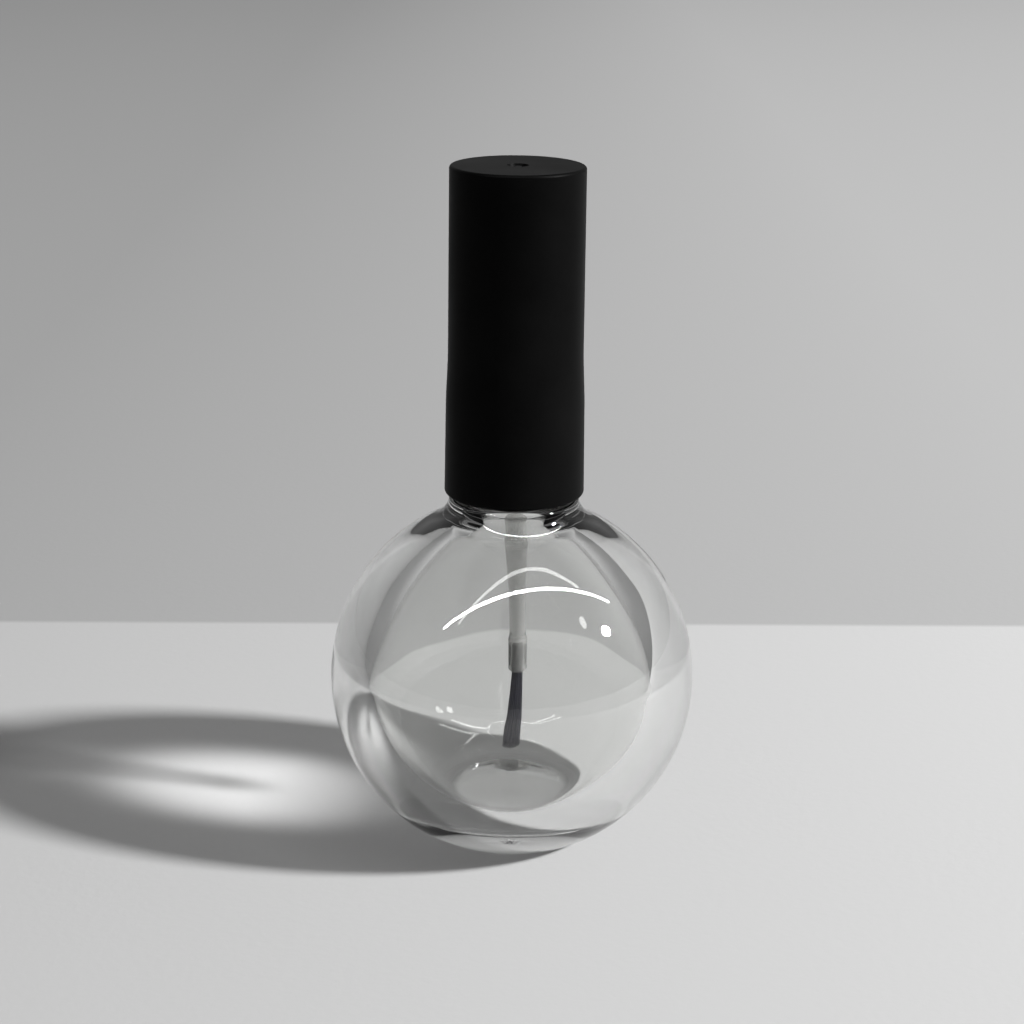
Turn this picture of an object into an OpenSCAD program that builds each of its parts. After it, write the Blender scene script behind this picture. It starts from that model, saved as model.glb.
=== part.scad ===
// Nail polish bottle: a clear glass ball with a threaded neck, a tall two-part screw cap
// and a brush that hangs from the cap into the ball.
// Millimetres, +Z up. The origin is the centre of the base, on the table.

/* [Glass ball] */
// Outside diameter of the ball
ball_d = 39.9; // [39:0.1:41]
// Height of the ball's centre above the table
ball_z = 17.85; // [17.6:0.05:18.1]
// Diameter of the hollow's round bowl
bowl_d = 30.2; // [29.8:0.1:30.6]
// Height of the bowl's centre above the table
bowl_z = 17.7; // [17.5:0.1:17.9]
// Radius of the rounded edge between the bowl and the flank above it
edge_r = 5; // [4:0.5:6]
// Profile radius of the flank that rises to the neck
flank_r = 21.5; // [20:0.5:23]
// Height of the inside floor above the table
floor_z = 5.6; // [5.2:0.1:6]
// Fillet radius between the floor and the bowl
floor_fillet = 2.5; // [2:0.1:3]
// Rounding of the heel, where the ball meets the table
heel_r = 1; // [0.5:0.1:1.5]
// Radius of the shallow push-up under the base
punt_r = 7.2; // [6:0.1:7.6]
// Depth of the push-up
punt_depth = 0.5; // [0.2:0.1:0.8]

/* [Neck] */
// Radius of the collar that the ball rises into
collar_r = 6.9; // [6.8:0.05:7]
// Fillet radius between the ball and the collar
shoulder_fillet = 3.6; // [3.2:0.1:3.8]
// Height of the collar's top above the table
collar_z = 38.5; // [38.4:0.05:38.55]
// Radius of the neck between its threads
neck_r = 5.65; // [5.6:0.01:5.7]
// Height of the neck above the collar
neck_h = 11.1; // [11:0.1:11.2]
// Radius of the bore through the neck
bore_r = 3.7; // [3.5:0.05:3.8]
// Rounding where the bore opens into the hollow
throat_r = 2.5; // [2:0.1:3]

/* [Thread] */
// Rise of the thread in one turn
thread_pitch = 2.117; // [2.117:0.001:2.117]
// Radius over the crests of the neck's thread
thread_r = 6.38; // [6.3:0.01:6.4]
// Turns of thread on the neck
neck_turns = 2; // [1.5:0.25:2]
// Turns of thread in the inner cap
cap_turns = 2.25; // [1.5:0.25:2.25]

/* [Cap] */
// Height of the cap's bottom edge above the table
cap_z = 38.85; // [38.85:0.05:39]
// Height of the cap's top above the table
cap_top_z = 74; // [73:0.5:76]
// Radius of the cap at its bottom edge
cap_foot_r = 7.5; // [7.45:0.01:7.6]
// Radius of the cap above the flare
cap_waist_r = 7.18; // [7.15:0.01:7.25]
// Radius of the cap at its top
cap_head_r = 7.12; // [7.1:0.01:7.2]
// Thickness of the outer cap's top
cap_roof = 1.4; // [1:0.1:1.6]
// Splines on the inner cap that grip the outer cap
spline_count = 16; // [8:2:24]

/* [Brush] */
// Radius of the stem below the plug
stem_r = 1.3; // [1.2:0.05:1.4]
// Radius of the stem's thin length
rod_r = 0.92; // [0.85:0.01:0.95]
// Radius of the stem's end, which holds the bristles
tip_r = 1.05; // [1.02:0.01:1.15]
// Height of the stem's end above the table
tip_z = 18.5; // [18.3:0.1:19]
// Height of the bristles' ends above the table
bristle_z = 8.6; // [8.4:0.1:9.2]
// How far the bristles lean to one side at their ends
bristle_lean = 0.85; // [0:0.05:1]
// Tilt of the stem to the other side, in degrees
stem_tilt = 1.3; // [0:0.1:1.5]

/* [Hidden] */

$fn = 96;
arc_step = 3;              // degrees between the points of a profile's arc
rise_step = 10;            // degrees between the sections of a thread ridge
land_z = collar_z + neck_h;

// Glass ball and hollow
ball_r = ball_d / 2;
bowl_r = bowl_d / 2;
heel_x = sqrt((ball_r - heel_r) ^ 2 - (ball_z - heel_r) ^ 2);
heel_angle = atan2(heel_r - ball_z, heel_x);
collar_edge = 0.6;
punt_arc_r = (punt_r ^ 2 + punt_depth ^ 2) / (2 * punt_depth);
shoulder_x = collar_r + shoulder_fillet;
shoulder_rise = sqrt((ball_r + shoulder_fillet) ^ 2 - shoulder_x ^ 2);
shoulder_angle = atan2(shoulder_rise, shoulder_x);
shoulder_end = asin((collar_z - collar_edge - ball_z - shoulder_rise) / shoulder_fillet);
shoulder_top_r = shoulder_x - shoulder_fillet * cos(shoulder_end);
lip_r = 0.5;
root_r = 0.3;
edge_angle = 3;            // where the bowl gives way to its edge, above the level
flank_angle = 12;          // where the edge gives way to the flank
edge_x = (bowl_r - edge_r) * cos(edge_angle);
edge_z = bowl_z + (bowl_r - edge_r) * sin(edge_angle);
flank_x = edge_x - (flank_r - edge_r) * cos(flank_angle);
flank_z = edge_z - (flank_r - edge_r) * sin(flank_angle);
throat_x = bore_r + throat_r;
throat_z = flank_z + sqrt((flank_r + throat_r) ^ 2 - (throat_x - flank_x) ^ 2);
throat_angle = atan2(throat_z - flank_z, throat_x - flank_x);
corner_z = floor_z + floor_fillet;
corner_x = sqrt((bowl_r - floor_fillet) ^ 2 - (bowl_z - corner_z) ^ 2);
corner_angle = atan2(corner_z - bowl_z, corner_x);
dimple_r = 0.8;
dimple_depth = 0.2;

// Thread ridges, as axial widths at the wall and at the crest
ridge_wide = 1.45;
ridge_narrow = 0.5;
groove_wide = 1.15;
groove_narrow = 0.4;
ridge_sink = 0.12;         // how far a ridge is let into its wall
ridge_fade = 60;           // degrees over which a ridge rises from its wall
thread_z = 43.3;           // where the neck's thread starts
groove_r = 6.5;            // wall radius between the inner cap's threads
groove_crest_r = 5.8;

// Cap shells
skirt_bore_r = 6.88;       // where the inner cap fills the outer cap's skirt
upper_bore_r = 6.5;        // the outer cap's bore above the flare
step_z = 55;               // where the bore steps from one to the other
flare_low_z = 47.85;
flare_high_z = 54.85;
flare_low_r = 7.4;
cap_edge = 0.4;
crown_edge = 0.35;
gate_r = 1.15;
gate_depth = 0.3;
gate_nub_r = 0.4;
gate_nub_h = 0.18;
inner_foot_z = cap_z + 0.25;
inner_top_z = 68;
inner_wall = 0.7;
spline_w = 0.9;
spline_lift = 0.12;        // how far a spline stands out of the inner cap
spline_top_gap = 4;

// Seal and plug
seat_gap = 0.03;           // free play above and below the washer
washer_h = 0.8;
washer_r = 5.7;
washer_hole_r = 2.5;
washer_z = land_z + seat_gap;
flange_z = washer_z + washer_h + seat_gap;
flange_h = 1.2;
flange_r = 5.75;
hub_r = washer_hole_r - 0.08;
bead_r = 2.75;
bead_h = 0.5;
deck_z = flange_z + flange_h;
deck_h = 1.6;
spigot_r = 2.2;
spigot_top = 5.5;
barb_r = 2.5;
barb_h = 1;

// Brush
plug_end_z = land_z - 3.2;
taper_top_z = ball_z + 13.5;
taper_end_z = ball_z + 8.5;
ferrule_h = 3;
tip_chamfer = 0.2;
rod_sink = 0.4;            // how far the rod is let into the plug
root_hole_r = 0.62;
root_hole_h = 2.8;
root_gap = 0.01;
staple_w = 1.5;
staple_t = 0.28;
staple_h = 1.9;
staple_up = 0.6;           // height of the staple's lower edge above the stem's end
tuft_flat = 0.72;          // thickness of the bristles' fan over its width
tuft_top_r = 0.72;
tuft_end_r = 1.1;
tuft_slice = 0.4;

function arc_steps(turn) = max(2, ceil(abs(turn) / arc_step));

// Points of an arc in a profile, from one angle to another
function arc(x, z, r, from, to) =
    let (n = arc_steps(to - from))
    [for (i = [0 : n]) let (a = from + (to - from) * i / n) [x + r * cos(a), z + r * sin(a)]];

// A smooth step from 0 to 1
function ease(t) = (1 - cos(180 * t)) / 2;

// Height of a thread ridge over its wall at each angle, as a share of its full height
function fade(a, total) =
    let (from_end = min(a, total - a))
    from_end >= ridge_fade ? 1 : ease(from_end / ridge_fade);

// One helical ridge on a wall, standing out when crest > wall and in when crest < wall
module ridge(wall, crest, wide, narrow, z, turns) {
    side = sign(crest - wall);
    total = 360 * turns;
    n = ceil(total / rise_step);
    sections = [for (i = [0 : n])
        let (a = total * i / n)
        let (mid = z + thread_pitch * a / 360)
        let (share = fade(a, total))
        let (tall = wall - side * ridge_sink / 3 + share * (crest - wall + side * ridge_sink / 3))
        let (tip = narrow * share + wide * (1 - share) * 0.9)
        [
            [(wall - side * ridge_sink) * cos(a), (wall - side * ridge_sink) * sin(a), mid - wide / 2],
            [tall * cos(a), tall * sin(a), mid - tip / 2],
            [tall * cos(a), tall * sin(a), mid + tip / 2],
            [(wall - side * ridge_sink) * cos(a), (wall - side * ridge_sink) * sin(a), mid + wide / 2]
        ]];
    points = [for (s = sections) each s];
    skin = [for (i = [0 : n - 1]) for (k = [0 : 3])
        let (j = (k + 1) % 4)
        each [[4 * i + k, 4 * i + j, 4 * i + 4 + j], [4 * i + k, 4 * i + 4 + j, 4 * i + 4 + k]]];
    ends = [[0, 2, 1], [0, 3, 2], [4 * n, 4 * n + 1, 4 * n + 2], [4 * n, 4 * n + 2, 4 * n + 3]];
    faces = concat(skin, ends);
    flipped = [for (f = faces) [f[0], f[2], f[1]]];
    polyhedron(points = points, faces = side > 0 ? faces : flipped);
}

module glass_profile() {
    polygon(concat(
        arc(0, punt_depth - punt_arc_r, punt_arc_r, 90, 90 - asin(punt_r / punt_arc_r)),
        arc(heel_x, heel_r, heel_r, -90, heel_angle),
        arc(0, ball_z, ball_r, heel_angle, shoulder_angle),
        arc(shoulder_x, ball_z + shoulder_rise, shoulder_fillet, 180 + shoulder_angle,
            180 - shoulder_end),
        arc(shoulder_top_r - collar_edge, collar_z - collar_edge, collar_edge, 0, 90),
        arc(neck_r + root_r, collar_z + root_r, root_r, 270, 180),
        arc(neck_r - lip_r, land_z - lip_r, lip_r, 0, 90),
        arc(bore_r + lip_r, land_z - lip_r, lip_r, 90, 180),
        arc(throat_x, throat_z, throat_r, 180, 180 + throat_angle),
        arc(flank_x, flank_z, flank_r, throat_angle, flank_angle),
        arc(edge_x, edge_z, edge_r, flank_angle, edge_angle),
        arc(0, bowl_z, bowl_r, edge_angle, corner_angle),
        arc(corner_x, corner_z, floor_fillet, corner_angle, -90),
        [[dimple_r, floor_z], [dimple_r / 2, floor_z - dimple_depth], [0, floor_z - dimple_depth]]
    ));
}

module glass_bottle() {
    color([0.86, 0.9, 0.9, 0.35])
    union() {
        rotate_extrude() glass_profile();
        ridge(neck_r, thread_r, ridge_wide, ridge_narrow, thread_z, neck_turns);
    }
}

// Outer cap: a tall shell with a soft flare, a moulding gate on top and an open skirt
module outer_cap() {
    flare = [for (i = [0 : 8])
        [flare_low_r + (cap_waist_r - flare_low_r) * ease(i / 8),
            flare_low_z + (flare_high_z - flare_low_z) * i / 8]];
    color([0.03, 0.03, 0.03])
    rotate_extrude()
    polygon(concat(
        [[skirt_bore_r, cap_z], [cap_foot_r - cap_edge, cap_z]],
        arc(cap_foot_r - cap_edge, cap_z + cap_edge, cap_edge, -90, 0),
        flare,
        arc(cap_head_r - crown_edge, cap_top_z - crown_edge, crown_edge, 0, 90),
        [[gate_r, cap_top_z], [gate_r - gate_depth / 2, cap_top_z - gate_depth],
            [gate_nub_r, cap_top_z - gate_depth], [gate_nub_r, cap_top_z - gate_depth + gate_nub_h],
            [0, cap_top_z - gate_depth + gate_nub_h], [0, cap_top_z - cap_roof],
            [upper_bore_r, cap_top_z - cap_roof], [upper_bore_r, step_z],
            [skirt_bore_r, step_z - (skirt_bore_r - upper_bore_r)]]
    ));
}

// Inner cap: threaded skirt, deck that the brush snaps through, and a splined sleeve
module inner_cap() {
    sleeve_r = upper_bore_r - spline_lift;
    color([0.88, 0.88, 0.86])
    union() {
        rotate_extrude()
        polygon([
            [groove_r, inner_foot_z], [skirt_bore_r, inner_foot_z],
            [skirt_bore_r, step_z - (skirt_bore_r - upper_bore_r)], [sleeve_r, step_z],
            [sleeve_r, inner_top_z], [sleeve_r - inner_wall, inner_top_z],
            [sleeve_r - inner_wall, deck_z + deck_h + inner_wall],
            [sleeve_r - 2 * inner_wall, deck_z + deck_h], [spigot_r, deck_z + deck_h],
            [spigot_r, deck_z], [groove_r, deck_z]
        ]);
        ridge(groove_r, groove_crest_r, groove_wide, groove_narrow,
            thread_z - thread_pitch / 2, cap_turns);
        for (i = [1 : spline_count])
            rotate(360 * i / spline_count)
            translate([sleeve_r - spline_lift, -spline_w / 2, step_z + 1])
            cube([2 * spline_lift, spline_w, inner_top_z - step_z - spline_top_gap]);
    }
}

module seal_washer() {
    color([0.85, 0.85, 0.82])
    translate([0, 0, washer_z])
    difference() {
        cylinder(h = washer_h, r = washer_r);
        translate([0, 0, -1]) cylinder(h = washer_h + 2, r = washer_hole_r);
    }
}

// Tilts a piece about the point where the stem leaves its plug
module lean() {
    translate([0, 0, plug_end_z]) rotate([0, -stem_tilt, 0]) translate([0, 0, -plug_end_z]) children();
}

// Brush stem: barbed spigot, flange, washer hub, tapered rod and the end that holds the bristles
module brush_stem() {
    color([0.88, 0.88, 0.86])
    difference() {
        union() {
            plug();
            lean() rod();
        }
        lean() translate([0, 0, tip_z - 1]) cylinder(h = root_hole_h + 1, r = root_hole_r);
        lean() staple_block();
    }
}

module plug() {
    hub_low_z = washer_z - seat_gap;
    rotate_extrude()
    polygon([
        [0, plug_end_z], [stem_r, plug_end_z], [hub_r, hub_low_z - 2 * bead_h],
        [bead_r, hub_low_z - bead_h], [bead_r, hub_low_z - 0.1], [hub_r, hub_low_z],
        [hub_r, flange_z], [flange_r, flange_z], [flange_r, deck_z], [spigot_r, deck_z],
        [spigot_r, deck_z + deck_h], [barb_r, deck_z + deck_h], [barb_r, deck_z + deck_h + barb_h],
        [spigot_r, deck_z + spigot_top], [0, deck_z + spigot_top]
    ]);
}

module rod() {
    rotate_extrude()
    polygon([
        [0, tip_z], [tip_r - tip_chamfer, tip_z], [tip_r, tip_z + tip_chamfer],
        [tip_r, tip_z + ferrule_h], [rod_r, tip_z + ferrule_h + 2 * tip_chamfer],
        [rod_r, taper_end_z], [stem_r, taper_top_z], [stem_r, plug_end_z + rod_sink],
        [0, plug_end_z + rod_sink]
    ]);
}

module staple_block() {
    translate([-staple_w / 2, -staple_t / 2, tip_z + staple_up])
        cube([staple_w, staple_t, staple_h]);
}

// Bristles: a bound root in the stem's end and a leaning, widening fan below it
module bristle_tuft() {
    fan_top_z = tip_z - root_gap;
    color([0.08, 0.08, 0.1])
    lean() difference() {
        union() {
            translate([0, 0, fan_top_z - tuft_slice / 2])
                cylinder(h = root_hole_h + tuft_slice / 2, r = root_hole_r - root_gap);
            hull() {
                translate([0, 0, fan_top_z - tuft_slice])
                    cylinder(h = tuft_slice, r = tuft_top_r, $fn = 32);
                translate([-bristle_lean, 0, bristle_z])
                    scale([1, tuft_flat, 1]) cylinder(h = tuft_slice, r = tuft_end_r, $fn = 32);
            }
        }
        staple_block();
    }
}

module anchor_staple() {
    color([0.7, 0.7, 0.72]) lean() staple_block();
}

glass_bottle();
outer_cap();
inner_cap();
seal_washer();
brush_stem();
bristle_tuft();
anchor_staple();
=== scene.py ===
"""Nail polish bottle: the looks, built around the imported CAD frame. Metres, +Z up."""

import math
import random

import bpy
from mathutils import Euler, Matrix, Vector, noise


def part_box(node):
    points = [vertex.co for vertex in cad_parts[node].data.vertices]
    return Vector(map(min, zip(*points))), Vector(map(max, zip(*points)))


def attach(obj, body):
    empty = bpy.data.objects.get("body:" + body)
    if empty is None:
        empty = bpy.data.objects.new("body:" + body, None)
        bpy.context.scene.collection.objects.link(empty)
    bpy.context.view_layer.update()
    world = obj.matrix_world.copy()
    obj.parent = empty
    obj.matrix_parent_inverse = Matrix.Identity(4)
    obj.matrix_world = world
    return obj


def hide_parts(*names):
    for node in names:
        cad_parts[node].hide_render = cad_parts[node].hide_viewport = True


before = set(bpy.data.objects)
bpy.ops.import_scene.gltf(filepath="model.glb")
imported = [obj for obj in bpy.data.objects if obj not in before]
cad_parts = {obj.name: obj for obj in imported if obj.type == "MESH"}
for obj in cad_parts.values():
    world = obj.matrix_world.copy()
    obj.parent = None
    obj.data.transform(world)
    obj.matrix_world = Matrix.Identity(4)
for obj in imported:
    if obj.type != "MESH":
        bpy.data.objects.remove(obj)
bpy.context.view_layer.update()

MM = 0.001

# Places read from the frame
glass_low, glass_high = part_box("glass_bottle")
BALL_R = (glass_high.x - glass_low.x) / 2
LAND_Z = glass_high.z
STEM_END_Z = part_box("brush_stem")[0].z
TUFT_END_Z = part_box("bristle_tuft")[0].z


# ---------------------------------------------------------------- small helpers


def arc(x, z, r, start, end, step=1.5):
    """Points of a profile's arc, in degrees from start to end."""
    n = max(3, math.ceil(abs(end - start) / step))
    turns = [math.radians(start + (end - start) * i / n) for i in range(n + 1)]
    return [(x + r * math.cos(a), z + r * math.sin(a)) for a in turns]


def ease(t):
    """A smooth step from 0 to 1."""
    t = min(1, max(0, t))
    return t * t * (3 - 2 * t)


def mesh_object(name, verts, faces, smooth=True):
    mesh = bpy.data.meshes.new(name)
    mesh.from_pydata(verts, [], faces)
    mesh.validate()
    if smooth:
        mesh.shade_smooth()
    obj = bpy.data.objects.new(name, mesh)
    bpy.context.scene.collection.objects.link(obj)
    return obj


def lathe(name, profile, sides, shape=None):
    """A closed turned solid, profiled from axis to axis. shape(x, z, angle) may move a point."""
    verts, faces = [(0, 0, profile[0][1])], []
    rings = profile[1:-1]
    for x, z in rings:
        for k in range(sides):
            a = 2 * math.pi * k / sides
            px, pz = shape(x, z, a) if shape else (x, z)
            verts.append((px * math.cos(a), px * math.sin(a), pz))
    verts.append((0, 0, profile[-1][1]))
    last = len(verts) - 1
    for k in range(sides):
        j = (k + 1) % sides
        faces.append((0, 1 + j, 1 + k))
        for i in range(len(rings) - 1):
            a, b = 1 + i * sides, 1 + (i + 1) * sides
            faces.append((a + k, a + j, b + j, b + k))
        top = 1 + (len(rings) - 1) * sides
        faces.append((last, top + k, top + j))
    return mesh_object(name, verts, faces)


# ---------------------------------------------------------------- materials


def new_material(name):
    mat = bpy.data.materials.new(name)
    mat.use_nodes = True
    nodes, links = mat.node_tree.nodes, mat.node_tree.links
    return mat, nodes, links, nodes["Principled BSDF"]


def noise_bump(nodes, links, shader, scale, distance, detail=4, strength=1.0):
    """Fine relief from a noise in object space."""
    coords = nodes.new("ShaderNodeTexCoord")
    tex = nodes.new("ShaderNodeTexNoise")
    tex.inputs["Scale"].default_value = scale
    tex.inputs["Detail"].default_value = detail
    bump = nodes.new("ShaderNodeBump")
    bump.inputs["Distance"].default_value = distance
    bump.inputs["Strength"].default_value = strength
    links.new(coords.outputs["Object"], tex.inputs["Vector"])
    links.new(tex.outputs["Fac"], bump.inputs["Height"])
    links.new(bump.outputs["Normal"], shader.inputs["Normal"])
    return coords, tex


def ramp(nodes, links, source, stops):
    node = nodes.new("ShaderNodeValToRGB")
    while len(node.color_ramp.elements) < len(stops):
        node.color_ramp.elements.new(0.5)
    for element, (place, colour) in zip(node.color_ramp.elements, stops):
        element.position = place
        element.color = (*colour, 1)
    links.new(source, node.inputs["Fac"])
    return node


def grey(v):
    return (v, v, v)


def glass_material():
    """Clear glass. Rays to lamps pass the ball's outside by how squarely they meet it."""
    mat, nodes, links, shader = new_material("clear_glass")
    shader.inputs["Base Color"].default_value = (0.93, 0.935, 0.925, 1)
    shader.inputs["Transmission Weight"].default_value = 1
    shader.inputs["IOR"].default_value = 1.52
    shader.inputs["Roughness"].default_value = 0
    path = nodes.new("ShaderNodeLightPath")
    coords = nodes.new("ShaderNodeTexCoord")
    reach = nodes.new("ShaderNodeVectorMath")
    reach.operation = "DISTANCE"
    reach.inputs[1].default_value = (0, 0, BALL_Z)
    links.new(coords.outputs["Object"], reach.inputs[0])
    outer = nodes.new("ShaderNodeMapRange")
    outer.inputs["From Min"].default_value = BALL_R - OUTSIDE_SKIN
    outer.inputs["From Max"].default_value = BALL_R - OUTSIDE_SKIN + OUTSIDE_BLEND
    links.new(reach.outputs["Value"], outer.inputs["Value"])
    facing = nodes.new("ShaderNodeLayerWeight")
    facing.inputs["Blend"].default_value = 0.5
    tint = nodes.new("ShaderNodeMapRange")
    tint.interpolation_type = "SMOOTHSTEP"
    tint.inputs["From Min"].default_value = SHADOW_FROM
    tint.inputs["From Max"].default_value = SHADOW_TO
    tint.inputs["To Min"].default_value = SHADOW_CENTRE
    tint.inputs["To Max"].default_value = SHADOW_RIM
    links.new(facing.outputs["Facing"], tint.inputs["Value"])
    split = nodes.new("ShaderNodeSeparateXYZ")
    links.new(coords.outputs["Object"], split.inputs["Vector"])
    low = nodes.new("ShaderNodeMapRange")
    low.inputs["From Min"].default_value = SHADOW_LOW_Z
    low.inputs["From Max"].default_value = SHADOW_HIGH_Z
    low.inputs["To Min"].default_value = SHADOW_FOOT
    links.new(split.outputs["Z"], low.inputs["Value"])
    both = nodes.new("ShaderNodeMath")
    both.operation = "MULTIPLY"
    links.new(tint.outputs["Result"], both.inputs[0])
    links.new(low.outputs["Result"], both.inputs[1])
    pick = nodes.new("ShaderNodeMix")
    pick.inputs["A"].default_value = 1
    links.new(outer.outputs["Result"], pick.inputs["Factor"])
    links.new(both.outputs["Value"], pick.inputs["B"])
    clear = nodes.new("ShaderNodeBsdfTransparent")
    links.new(pick.outputs["Result"], clear.inputs["Color"])
    mix = nodes.new("ShaderNodeMixShader")
    links.new(path.outputs["Is Shadow Ray"], mix.inputs["Fac"])
    links.new(shader.outputs["BSDF"], mix.inputs[1])
    links.new(clear.outputs["BSDF"], mix.inputs[2])
    links.new(mix.outputs["Shader"], nodes["Material Output"].inputs["Surface"])
    return mat


def cap_material():
    mat, nodes, links, shader = new_material("matte_black_cap")
    shader.inputs["Specular IOR Level"].default_value = 0.03
    coords, _ = noise_bump(nodes, links, shader, 9000, 0.00001, detail=3, strength=0.4)
    tone = nodes.new("ShaderNodeTexNoise")
    tone.inputs["Scale"].default_value = 120
    tone.inputs["Detail"].default_value = 5
    links.new(coords.outputs["Object"], tone.inputs["Vector"])
    colour = ramp(nodes, links, tone.outputs["Fac"], [(0.3, grey(0.0012)), (0.7, grey(0.0028))])
    rough = ramp(nodes, links, tone.outputs["Fac"], [(0.3, grey(0.42)), (0.7, grey(0.5))])
    links.new(colour.outputs["Color"], shader.inputs["Base Color"])
    links.new(rough.outputs["Color"], shader.inputs["Roughness"])
    return mat


def plastic_material(name, dark, light, roughness, transmission=0.0, scale=400, bump=0.000004):
    mat, nodes, links, shader = new_material(name)
    shader.inputs["Transmission Weight"].default_value = transmission
    shader.inputs["IOR"].default_value = 1.5
    _, tex = noise_bump(nodes, links, shader, scale, bump, detail=3, strength=0.5)
    colour = ramp(nodes, links, tex.outputs["Fac"], [(0.3, dark), (0.7, light)])
    sheen = [(0.3, grey(roughness * 0.85)), (0.7, grey(roughness * 1.15))]
    rough = ramp(nodes, links, tex.outputs["Fac"], sheen)
    links.new(colour.outputs["Color"], shader.inputs["Base Color"])
    links.new(rough.outputs["Color"], shader.inputs["Roughness"])
    return mat


def steel_material():
    mat, nodes, links, shader = new_material("staple_steel")
    shader.inputs["Metallic"].default_value = 1
    _, tex = noise_bump(nodes, links, shader, 3000, 0.000003, detail=2, strength=0.5)
    colour = ramp(nodes, links, tex.outputs["Fac"], [(0.3, grey(0.55)), (0.7, grey(0.75))])
    links.new(colour.outputs["Color"], shader.inputs["Base Color"])
    shader.inputs["Roughness"].default_value = 0.25
    return mat


def floor_material(edge_y):
    """Pale floor with a slightly darker far field behind edge_y, and painted shade that darkens both
    towards -X, away from the key light.
    """
    mat, nodes, links, shader = new_material("pale_floor")
    coords = nodes.new("ShaderNodeTexCoord")
    split = nodes.new("ShaderNodeSeparateXYZ")
    skew = nodes.new("ShaderNodeMath")
    skew.operation = "MULTIPLY_ADD"
    skew.inputs[1].default_value = FAR_FIELD_SKEW
    place = nodes.new("ShaderNodeMapRange")
    place.inputs["From Min"].default_value = edge_y - 0.0006
    place.inputs["From Max"].default_value = edge_y + 0.0006
    links.new(coords.outputs["Object"], split.inputs["Vector"])
    links.new(split.outputs["X"], skew.inputs[0])
    links.new(split.outputs["Y"], skew.inputs[2])
    links.new(skew.outputs["Value"], place.inputs["Value"])
    # Painted shade: the floor and far field grow darker towards -X, away from the key light.
    across = nodes.new("ShaderNodeMapRange")
    across.inputs["From Min"].default_value = -SHADE_GRADIENT_REACH
    across.inputs["From Max"].default_value = SHADE_GRADIENT_REACH
    across.inputs["To Min"].default_value = 1 - PAINTED_SHADE_DEPTH
    links.new(split.outputs["X"], across.inputs["Value"])
    colour = ramp(nodes, links, place.outputs["Result"], [(0, FLOOR_TONE), (1, FAR_TONE)])
    shade = nodes.new("ShaderNodeMix")
    shade.data_type = "RGBA"
    shade.blend_type = "MULTIPLY"
    shade.inputs["Factor"].default_value = 1
    links.new(colour.outputs["Color"], shade.inputs["A"])
    links.new(across.outputs["Result"], shade.inputs["B"])
    links.new(shade.outputs["Result"], shader.inputs["Base Color"])
    shader.inputs["Roughness"].default_value = 0.75
    shader.inputs["Specular IOR Level"].default_value = 0.2
    tex = nodes.new("ShaderNodeTexNoise")
    tex.inputs["Scale"].default_value = 900
    bump = nodes.new("ShaderNodeBump")
    bump.inputs["Distance"].default_value = 0.00006
    bump.inputs["Strength"].default_value = 0.3
    links.new(coords.outputs["Object"], tex.inputs["Vector"])
    links.new(tex.outputs["Fac"], bump.inputs["Height"])
    links.new(bump.outputs["Normal"], shader.inputs["Normal"])
    return mat


# ---------------------------------------------------------------- glass bottle

BALL_Z = 17.85 * MM
BOWL_R = 15.1 * MM
BOWL_Z = 17.7 * MM
EDGE_R = 5 * MM
EDGE_ANGLE = 3
FLANK_R = 21.5 * MM
FLANK_ANGLE = 12
FLOOR_Z = 5.6 * MM
FLOOR_FILLET = 2.5 * MM
HEEL_R = 1 * MM
PUNT_R = 7.2 * MM
PUNT_DEPTH = 0.5 * MM
COLLAR_R = 6.9 * MM
COLLAR_Z = 38.5 * MM
COLLAR_EDGE = 0.6 * MM
SHOULDER_FILLET = 3.6 * MM
NECK_R = 5.65 * MM
NECK_ROOT = 0.3 * MM
NECK_STEPS = 90
GLASS_SIDES = 360
LIP_R = 0.5 * MM
BORE_R = 3.7 * MM
THROAT_R = 2.5 * MM
DIMPLE_R = 0.8 * MM
DIMPLE_DEPTH = 0.2 * MM
HEEL_TOP_ANGLE = -57
WAVE_SIZE = 9 * MM
WAVE_SHARE = 0.01
STIPPLE_DEPTH = 0.12 * MM
STIPPLE_SIZE = 0.35 * MM
STIPPLE_FROM = 8.6 * MM
STIPPLE_TO = 10.2 * MM
OUTSIDE_SKIN = 1.2 * MM
OUTSIDE_BLEND = 0.4 * MM
SHADOW_FROM = 0.01
SHADOW_TO = 0.2
SHADOW_CENTRE = 1.2
SHADOW_RIM = 0.36
SHADOW_LOW_Z = 2 * MM
SHADOW_HIGH_Z = 8 * MM
SHADOW_FOOT = 0.3

THREAD_R = 6.38 * MM
THREAD_Z = 43.3 * MM
THREAD_PITCH = 2.117 * MM
THREAD_TURNS = 2
THREAD_WIDE = 1.45 * MM
THREAD_NARROW = 0.5 * MM
THREAD_FADE = math.radians(60)


def thread_height(z, angle):
    """How far the thread stands out of the neck at a height and an angle."""
    total = 2 * math.pi * THREAD_TURNS
    best = 0
    for turn in range(THREAD_TURNS + 1):
        along = angle + 2 * math.pi * turn
        if along > total:
            continue
        off = abs(z - THREAD_Z - THREAD_PITCH * along / (2 * math.pi))
        flank = (THREAD_WIDE / 2 - off) / (THREAD_WIDE / 2 - THREAD_NARROW / 2)
        share = ease(min(along, total - along) / THREAD_FADE)
        best = max(best, ease(flank) * share)
    return best * (THREAD_R - NECK_R)


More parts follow.
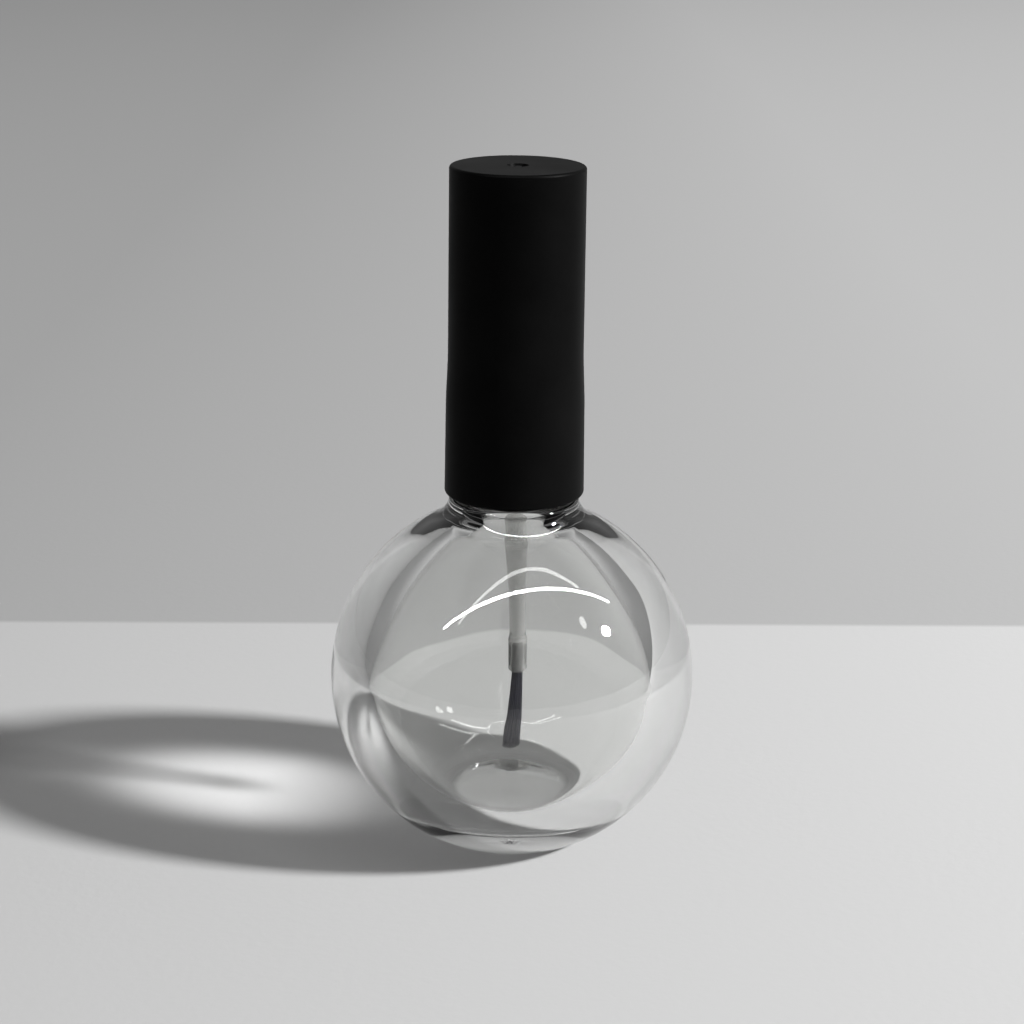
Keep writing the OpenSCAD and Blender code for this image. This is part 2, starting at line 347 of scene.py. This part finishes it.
def hollow_wall():
    """From the bore through the throat, down the flank, over its edge and round the bowl."""
    turn, lean = math.radians(EDGE_ANGLE), math.radians(FLANK_ANGLE)
    edge_x = (BOWL_R - EDGE_R) * math.cos(turn)
    edge_z = BOWL_Z + (BOWL_R - EDGE_R) * math.sin(turn)
    flank_x = edge_x - (FLANK_R - EDGE_R) * math.cos(lean)
    flank_z = edge_z - (FLANK_R - EDGE_R) * math.sin(lean)
    throat_x = BORE_R + THROAT_R
    throat_z = flank_z + math.sqrt((FLANK_R + THROAT_R) ** 2 - (throat_x - flank_x) ** 2)
    throat_angle = math.degrees(math.atan2(throat_z - flank_z, throat_x - flank_x))
    corner_z = FLOOR_Z + FLOOR_FILLET
    corner_x = math.sqrt((BOWL_R - FLOOR_FILLET) ** 2 - (BOWL_Z - corner_z) ** 2)
    corner_angle = math.degrees(math.atan2(corner_z - BOWL_Z, corner_x))
    return (
        arc(throat_x, throat_z, THROAT_R, 180, 180 + throat_angle, 4)
        + arc(flank_x, flank_z, FLANK_R, throat_angle, FLANK_ANGLE, 0.5)
        + arc(edge_x, edge_z, EDGE_R, FLANK_ANGLE, EDGE_ANGLE)
        + arc(0, BOWL_Z, BOWL_R, EDGE_ANGLE, corner_angle)
        + arc(corner_x, corner_z, FLOOR_FILLET, corner_angle, -90, 3)
    )


def glass_profile():
    """The outside from the push-up to the lip, and the inside from the lip to the dimple."""
    punt_arc = (PUNT_R**2 + PUNT_DEPTH**2) / (2 * PUNT_DEPTH)
    heel_x = math.sqrt((BALL_R - HEEL_R) ** 2 - (BALL_Z - HEEL_R) ** 2)
    heel_angle = math.degrees(math.atan2(HEEL_R - BALL_Z, heel_x))
    shoulder_x = COLLAR_R + SHOULDER_FILLET
    shoulder_rise = math.sqrt((BALL_R + SHOULDER_FILLET) ** 2 - shoulder_x**2)
    shoulder_angle = math.degrees(math.atan2(shoulder_rise, shoulder_x))
    shoulder_share = (COLLAR_Z - COLLAR_EDGE - BALL_Z - shoulder_rise) / SHOULDER_FILLET
    shoulder_end = math.degrees(math.asin(shoulder_share))
    shoulder_top_r = shoulder_x - SHOULDER_FILLET * math.cos(math.radians(shoulder_end))
    neck_low = COLLAR_Z + NECK_ROOT
    neck_rise = (LAND_Z - LIP_R - neck_low) / NECK_STEPS
    punt_end = 90 - math.degrees(math.asin(PUNT_R / punt_arc))
    shoulder_z = BALL_Z + shoulder_rise
    outside = (
        arc(0, PUNT_DEPTH - punt_arc, punt_arc, 90, punt_end, 0.8)
        + [(PUNT_R + (heel_x - PUNT_R) * i / 8, 0) for i in range(1, 8)]
        + arc(heel_x, HEEL_R, HEEL_R, -90, heel_angle, 4)
        + arc(0, BALL_Z, BALL_R, heel_angle, HEEL_TOP_ANGLE, 0.5)
        + arc(0, BALL_Z, BALL_R, HEEL_TOP_ANGLE, shoulder_angle)
        + arc(shoulder_x, shoulder_z, SHOULDER_FILLET, 180 + shoulder_angle, 180 - shoulder_end, 4)
        + arc(shoulder_top_r - COLLAR_EDGE, COLLAR_Z - COLLAR_EDGE, COLLAR_EDGE, 0, 90, 12)
        + arc(NECK_R + NECK_ROOT, COLLAR_Z + NECK_ROOT, NECK_ROOT, 270, 180, 12)
        + [(NECK_R, neck_low + neck_rise * i) for i in range(1, NECK_STEPS)]
        + arc(NECK_R - LIP_R, LAND_Z - LIP_R, LIP_R, 0, 90, 8)
    )
    inside = (
        arc(BORE_R + LIP_R, LAND_Z - LIP_R, LIP_R, 90, 180, 8)
        + hollow_wall()
        + [(DIMPLE_R * 3, FLOOR_Z), (DIMPLE_R, FLOOR_Z)]
        + [(DIMPLE_R / 2, FLOOR_Z - DIMPLE_DEPTH), (0, FLOOR_Z - DIMPLE_DEPTH)]
    )
    return outside, inside


def make_glass():
    outside, inside = glass_profile()
    profile = []
    for p in outside + inside:
        if not profile or math.dist(p, profile[-1]) > 1e-7:
            profile.append(p)
    inner_points = set(inside)

    def shape(x, z, angle):
        """Waves in the hollow, stipple on the heel and the thread on the neck."""
        if (x, z) in inner_points:
            spot = Vector((x * math.cos(angle), x * math.sin(angle), z)) / WAVE_SIZE
            wave = noise.noise(spot + Vector((3, 1, 7)))
            below_neck = ease((LAND_Z - 10 * MM - z) / (8 * MM))
            above_floor = ease((z - FLOOR_Z - 0.5 * MM) / (3 * MM))
            return x * (1 + WAVE_SHARE * wave * below_neck * above_floor), z
        if z < 1 * MM and STIPPLE_FROM < x < STIPPLE_TO:
            spot = Vector((x * math.cos(angle), x * math.sin(angle), 0)) / STIPPLE_SIZE
            edge = ease((x - STIPPLE_FROM) / (0.3 * MM)) * ease((STIPPLE_TO - x) / (0.3 * MM))
            return x, z + STIPPLE_DEPTH * edge * (0.5 + 0.5 * noise.noise(spot))
        if COLLAR_Z + NECK_ROOT < z < LAND_Z - LIP_R and abs(x - NECK_R) < 1e-6:
            return x + thread_height(z, angle), z
        return x, z

    return lathe("glass_ball", profile, GLASS_SIDES, shape)


glass = make_glass()
glass.data.materials.append(glass_material())
glass.visible_diffuse = False
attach(glass, "bottle")
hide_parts("glass_bottle")


# ---------------------------------------------------------------- bristles

BRISTLES = 170
BRISTLE_R = 0.045 * MM
BRISTLE_LEAN = 0.85 * MM
BRISTLE_ROOT_R = 0.56 * MM
BRISTLE_END_R = 1.06 * MM
BRISTLE_FLAT = 0.72
BRISTLE_TOP_Z = STEM_END_Z + 2.6 * MM
STEM_TILT = math.radians(1.3)
STEM_ROOT_Z = LAND_Z - 3.2 * MM


def tilted(x, z):
    """A point of the brush after the stem's slight tilt about its root in the plug."""
    down = z - STEM_ROOT_Z
    across = x * math.cos(STEM_TILT) - down * math.sin(STEM_TILT)
    return across, STEM_ROOT_Z + x * math.sin(STEM_TILT) + down * math.cos(STEM_TILT)


def make_bristles():
    """Separate filaments, bound in the stem's end, that widen and lean as they go down."""
    random.seed(7)
    verts, faces = [], []
    sides, rings = 6, 16
    for i in range(BRISTLES):
        share = math.sqrt((i + 0.5) / BRISTLES)
        turn = i * math.pi * (3 - math.sqrt(5))
        ux, uy = share * math.cos(turn), share * math.sin(turn)
        end_z = TUFT_END_Z + (0.25 * share**2 + 0.25 * random.random() + 0.12 * (ux + 1)) * MM
        sway = (random.uniform(-0.08, 0.08) * MM, random.uniform(-0.08, 0.08) * MM)
        first = len(verts)
        for k in range(rings + 1):
            t = k / rings
            z = BRISTLE_TOP_Z + (end_z - BRISTLE_TOP_Z) * t
            free = ease((STEM_END_Z - z) / (STEM_END_Z - TUFT_END_Z)) if z < STEM_END_Z else 0
            down = max(0, (STEM_END_Z - z) / (STEM_END_Z - TUFT_END_Z))
            rx = BRISTLE_ROOT_R + (BRISTLE_END_R - BRISTLE_ROOT_R) * down**0.9
            ry = BRISTLE_ROOT_R + (BRISTLE_END_R * BRISTLE_FLAT - BRISTLE_ROOT_R) * down
            lean = BRISTLE_LEAN * (0.55 * down + 0.45 * down**2)
            x = ux * rx - lean + sway[0] * math.sin(3.1 * down) * free
            y = uy * ry + sway[1] * math.sin(2.7 * down) * free
            thin = BRISTLE_R * (1 - 0.55 * ease((t - 0.8) / 0.2))
            for s in range(sides):
                a = 2 * math.pi * s / sides
                px, pz = tilted(x + thin * math.cos(a), z)
                verts.append((px, y + thin * math.sin(a), pz))
        for k in range(rings):
            for s in range(sides):
                n = (s + 1) % sides
                a = first + k * sides
                b = a + sides
                faces.append((a + s, b + s, b + n, a + n))
        faces.append([first + s for s in range(sides)])
        faces.append([first + rings * sides + s for s in reversed(range(sides))])
    return mesh_object("bristles", verts, faces)


bristles = make_bristles()
nylon = plastic_material("black_nylon", (0.008, 0.008, 0.012), (0.02, 0.019, 0.028), 0.35, scale=2500)
bristles.data.materials.append(nylon)
bristles.visible_shadow = False
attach(bristles, "cap")
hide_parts("bristle_tuft")


# ---------------------------------------------------------------- materials of the CAD pieces


def dress(node, mat):
    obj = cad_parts[node]
    if not obj.data.materials:
        obj.data.materials.append(mat)
    for place in obj.material_slots:
        place.material = mat


dress("outer_cap", cap_material())
inner_white = plastic_material("inner_cap_white", (0.7, 0.7, 0.68), (0.78, 0.78, 0.76), 0.4)
milky = plastic_material("milky_stem", (0.5, 0.5, 0.49), (0.58, 0.58, 0.57), 0.16, transmission=0.82)
dress("inner_cap", inner_white)
dress("seal_washer", plastic_material("white_washer", grey(0.72), grey(0.82), 0.6, scale=900))
dress("brush_stem", milky)
dress("anchor_staple", steel_material())


# ---------------------------------------------------------------- stage, lights and camera

CAMERA_BACK = 226.7 * MM
CAMERA_RISE = 90.7 * MM
CAMERA_DOWN = 17.63
CAMERA_ROLL = 0.69
CAMERA_ASIDE = -0.2 * MM
CAMERA_LENS = 77.34

FAR_FIELD_Y = 63 * MM
FAR_FIELD_SKEW = -0.022
# Painted shade across the floor, darker towards -X, away from the key light
SHADE_GRADIENT_REACH = 100 * MM
PAINTED_SHADE_DEPTH = 0.3
FLOOR_TONE = grey(0.69)
FAR_TONE = grey(0.51)
FLOOR_SIZE = 3

SKY_STOPS = [(0, grey(0.22)), (0.1, grey(0.26)), (0.25, grey(0.5)), (0.6, grey(0.3)), (1, grey(0.2))]
ROOM_TONE = 0.15

KEY_DISTANCE = 4
KEY_SIZE = 0.4
KEY_ELEVATION = 30
KEY_AZIMUTH = 15
KEY_POWER = 280

STRIP_PLACE = (0.05, -0.15, 0.5)
STRIP_LONG = 1.2
STRIP_WIDE = 0.02
STRIP_POWER = 4


def make_stage():
    """A pale floor and a soft studio that is brighter towards the back."""
    half = FLOOR_SIZE / 2
    corners = [(-half, -half, 0), (half, -half, 0), (half, half, 0), (-half, half, 0)]
    floor = mesh_object("floor", corners, [(0, 1, 2, 3)], False)
    floor.data.materials.append(floor_material(FAR_FIELD_Y))
    world = bpy.data.worlds.new("studio")
    bpy.context.scene.world = world
    world.use_nodes = True
    nodes, links = world.node_tree.nodes, world.node_tree.links
    coords = nodes.new("ShaderNodeTexCoord")
    split = nodes.new("ShaderNodeSeparateXYZ")
    links.new(coords.outputs["Generated"], split.inputs["Vector"])
    rise = ramp(nodes, links, split.outputs["Z"], SKY_STOPS)
    depth = nodes.new("ShaderNodeMapRange")
    depth.inputs["From Min"].default_value = -0.6
    depth.inputs["From Max"].default_value = 0.3
    depth.inputs["To Min"].default_value = ROOM_TONE
    links.new(split.outputs["Y"], depth.inputs["Value"])
    mix = nodes.new("ShaderNodeMix")
    mix.data_type = "RGBA"
    mix.blend_type = "MULTIPLY"
    mix.inputs["Factor"].default_value = 1
    links.new(rise.outputs["Color"], mix.inputs["A"])
    links.new(depth.outputs["Result"], mix.inputs["B"])
    links.new(mix.outputs["Result"], nodes["Background"].inputs["Color"])
    nodes["Background"].inputs["Strength"].default_value = 1


def make_key_light():
    light = bpy.data.lights.new("key", "AREA")
    light.shape = "DISK"
    light.size = KEY_SIZE
    light.energy = KEY_POWER
    lamp = bpy.data.objects.new("key", light)
    e, a = math.radians(KEY_ELEVATION), math.radians(KEY_AZIMUTH)
    away = Vector((math.cos(e) * math.cos(a), -math.cos(e) * math.sin(a), math.sin(e)))
    lamp.location = Vector((0, 0, BALL_Z)) + away * KEY_DISTANCE
    lamp.rotation_euler = away.to_track_quat("Z", "Y").to_euler()
    bpy.context.scene.collection.objects.link(lamp)


def make_strip(name, place, aim, long, wide, power):
    """A light that only shows as a highlight in gloss and glass."""
    light = bpy.data.lights.new(name, "AREA")
    light.shape = "RECTANGLE"
    light.size = long
    light.size_y = wide
    light.energy = power
    lamp = bpy.data.objects.new(name, light)
    lamp.location = place
    lamp.rotation_euler = (Vector(place) - Vector(aim)).to_track_quat("Z", "Y").to_euler()
    lamp.visible_diffuse = False
    bpy.context.scene.collection.objects.link(lamp)


def make_camera():
    data = bpy.data.cameras.new("camera")
    data.lens = CAMERA_LENS
    data.sensor_width = 36
    data.clip_start = 0.01
    camera = bpy.data.objects.new("camera", data)
    camera.location = (CAMERA_ASIDE, -CAMERA_BACK, BALL_Z + CAMERA_RISE)
    tilt = Euler((math.radians(90 - CAMERA_DOWN), 0, 0)).to_matrix()
    roll = Matrix.Rotation(math.radians(CAMERA_ROLL), 3, "Z")
    camera.rotation_euler = (tilt @ roll).to_euler()
    bpy.context.scene.collection.objects.link(camera)
    bpy.context.scene.camera = camera


make_stage()
make_key_light()
make_strip("strip", STRIP_PLACE, (0, 0, BALL_Z), STRIP_LONG, STRIP_WIDE, STRIP_POWER)
make_camera()
bpy.context.scene.view_settings.view_transform = "Standard"
